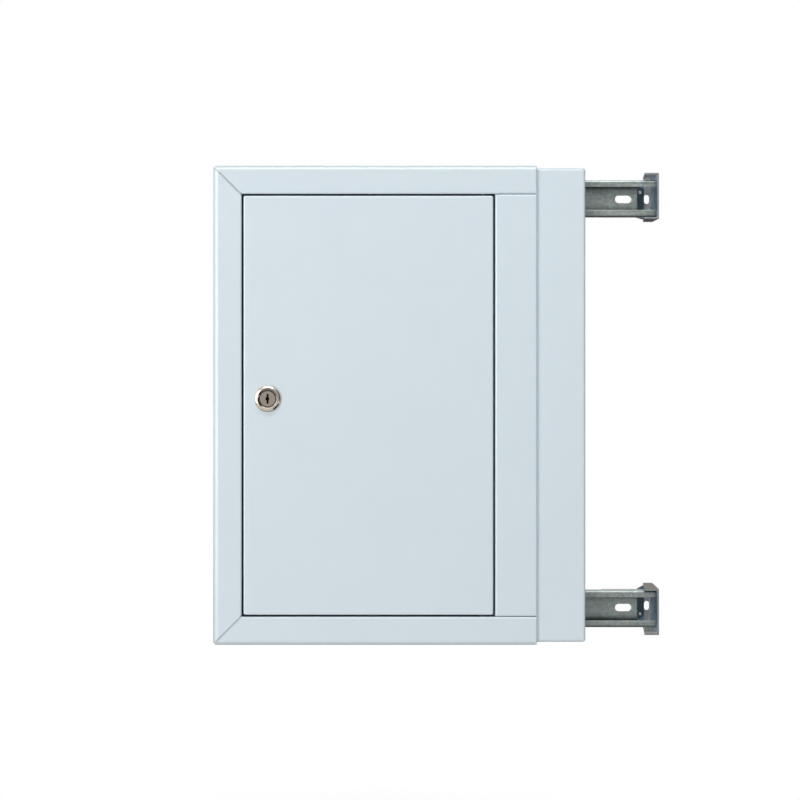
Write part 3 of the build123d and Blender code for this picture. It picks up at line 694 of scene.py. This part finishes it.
def hanger_screws():
    """All four screws, their heads towards the front."""
    low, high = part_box("hanger_screws")
    radius = 3 * mm
    pitch = 1 * mm
    flats = 10 * mm
    head = 4 * mm
    seat = low.y + head
    rows = shank_rows(radius, pitch, high.y - seat) + hex_head_rows(flats, head)
    mesh = bmesh.new()
    for name in hangers:
        start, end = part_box(name)
        rail_low, rail_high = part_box(name.split("_")[1] + "_rail")
        spot = ((start.x + end.x) / 2, seat, (rail_low.z + rail_high.z) / 2)
        turned(mesh, Matrix.Translation(spot) @ to_front, rows, screw_sides)
    screws = new_piece("hanger_screws_threaded", mesh, zinc, "cover")
    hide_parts("hanger_screws")


hanger_screws()

# Studio: pale floor well below the enclosure, which hangs on a wall, in a white surround. Soft boxes
# stand on the left and above, with a fill on the right. Dark and lit cloths show only in reflections
# and give the metal its shades and the folds their lines of light.


def seen_directly(tree):
    """1 for what the camera sees, also in metal and through glass, and 0 for light on the object."""
    path = add_node(tree, "ShaderNodeLightPath", {}, {})
    mirrored = add_node(tree, "ShaderNodeMath", {"operation": "ADD"}, {
        0: path.outputs["Is Glossy Ray"], 1: path.outputs["Is Transmission Ray"]})
    seen = add_node(tree, "ShaderNodeMath", {"operation": "ADD", "use_clamp": True}, {
        0: path.outputs["Is Camera Ray"], 1: mirrored.outputs["Value"]})
    return seen.outputs["Value"]


def studio_world():
    """White to the camera, and a plain grey level of light on the object."""
    world = bpy.data.worlds.new("white_surround")
    world.use_nodes = True
    tree = world.node_tree
    tree.nodes.clear()
    colour = add_node(tree, "ShaderNodeMix", {"data_type": "RGBA"}, {
        0: seen_directly(tree), 6: linear("616161"), 7: linear("ffffff")})
    light = add_node(tree, "ShaderNodeBackground", {}, {"Color": colour.outputs[2], "Strength": 1.0})
    add_node(tree, "ShaderNodeOutputWorld", {}, {"Surface": light.outputs["Background"]})
    bpy.context.scene.world = world


studio_world()


def panel(name, centre, turn, half, finish):
    """A flat square of the studio."""
    mesh = bmesh.new()
    bmesh.ops.create_grid(mesh, x_segments=1, y_segments=1, size=half)
    data = bpy.data.meshes.new(name)
    mesh.to_mesh(data)
    mesh.free()
    data.materials.append(finish)
    piece = bpy.data.objects.new(name, data)
    piece.location = centre
    piece.rotation_euler = turn
    bpy.context.scene.collection.objects.link(piece)
    return piece


def pale_floor():
    """Pale floor: it fades into the white surround, and shows its own shade and shadows near the middle."""
    finish, tree, place = new_finish("pale_floor")
    dust = add_node(tree, "ShaderNodeTexNoise", {}, {"Vector": place, "Scale": 3.0, "Detail": 2.0})
    colour = add_node(tree, "ShaderNodeMix", {"data_type": "RGBA"}, {
        0: dust.outputs["Fac"], 6: linear("f4f4f4"), 7: linear("f8f8f8")})
    matt = add_node(tree, "ShaderNodeBsdfPrincipled", {}, {
        "Base Color": colour.outputs[2], "Roughness": 0.9})
    glow = add_node(tree, "ShaderNodeEmission", {}, {"Color": linear("ffffff"), "Strength": 1.0})
    distance = add_node(tree, "ShaderNodeVectorMath", {"operation": "LENGTH"}, {0: place})
    white = add_node(tree, "ShaderNodeMapRange", {}, {
        "Value": distance.outputs["Value"], "From Min": 0.3, "From Max": 0.9,
        "To Min": 0.75, "To Max": 1.0})
    share = add_node(tree, "ShaderNodeMath", {"operation": "MULTIPLY"}, {
        0: white.outputs["Result"], 1: seen_directly(tree)})
    mixed = add_node(tree, "ShaderNodeMixShader", {}, {
        0: share.outputs["Value"], 1: matt.outputs["BSDF"], 2: glow.outputs["Emission"]})
    add_node(tree, "ShaderNodeOutputMaterial", {}, {"Surface": mixed.outputs["Shader"]})
    return finish


def studio_cloth(name, shade, glow):
    """Cloth that shows only in reflections: dark for shades in the metal, lit for lines on the folds."""
    finish, tree, place = new_finish(name)
    folds = add_node(tree, "ShaderNodeTexNoise", {}, {"Vector": place, "Scale": 1.5, "Detail": 2.0})
    depth = add_node(tree, "ShaderNodeMapRange", {}, {
        "Value": folds.outputs["Fac"], "To Min": 0.85 * glow, "To Max": 1.15 * glow})
    cloth = add_node(tree, "ShaderNodeEmission", {}, {
        "Color": linear(shade), "Strength": depth.outputs["Result"]})
    add_node(tree, "ShaderNodeOutputMaterial", {}, {"Surface": cloth.outputs["Emission"]})
    return finish


panel("floor", (0, 0, -0.62), (0, 0, 0), 6.0, pale_floor())
for name, centre, turn, half, shade, glow in (
    ("grey_cloth_front", (0.6, -2.6, -0.3), (math.pi / 2, 0, 0), 1.8, "b4b4b4", 1),
    ("dark_cloth_right", (2.4, 1.2, 0), (0, math.pi / 2, 0), 3.2, "303030", 1),
    ("dark_cloth_below", (0.2, 2.1, -0.58), (0, 0, 0), 2.3, "707070", 1),
    ("dark_cloth_low_right", (0.6, -0.62, -0.57), (0, 0, 0), 0.46, "202020", 1),
    ("lit_cloth_left", (-1.9, -1.5, 0.1), (0, math.pi / 2, 0), 1.2, "ffffff", 3.4),
    ("lit_cloth_above", (-0.2, -1.5, 1.9), (0, 0, 0), 1.0, "ffffff", 2.3),
):
    cloth = panel(name, centre, turn, half, studio_cloth(name, shade, glow))
    cloth.visible_camera = False
    cloth.visible_diffuse = False
    cloth.visible_transmission = False
    cloth.visible_shadow = False


def soft_box(name, spot, width, height, power):
    """A lamp behind a flat diffuser, turned towards the door."""
    lamp = bpy.data.lights.new(name, "AREA")
    lamp.shape = "RECTANGLE"
    lamp.size = width
    lamp.size_y = height
    lamp.energy = power
    box = bpy.data.objects.new(name, lamp)
    box.location = spot
    box.rotation_euler = (-Vector(spot)).to_track_quat("-Z", "Y").to_euler()
    bpy.context.scene.collection.objects.link(box)
    return box


soft_box("left_strip", (-1.75, -2.7, 0.1), 0.7, 2.0, 35)
soft_box("top_strip", (-0.1, -1.0, 1.75), 1.3, 0.4, 13)
front_fill = soft_box("front_fill", (0.8, -2.4, 0.4), 0.5, 0.5, 15.4)
front_fill.visible_glossy = False


def photo_camera():
    """Square to the door and a little above its middle, with the picture shifted to frame it."""
    view = bpy.data.cameras.new("photo_camera")
    view.sensor_width = 36
    view.lens = 62.225
    view.shift_y = -0.06844
    camera = bpy.data.objects.new("photo_camera", view)
    camera.location = (0.02086, -1.210, 0.050)
    camera.rotation_euler = (math.pi / 2, 0, 0)
    bpy.context.scene.collection.objects.link(camera)
    bpy.context.scene.camera = camera


photo_camera()
bpy.context.scene.view_settings.view_transform = "Standard"
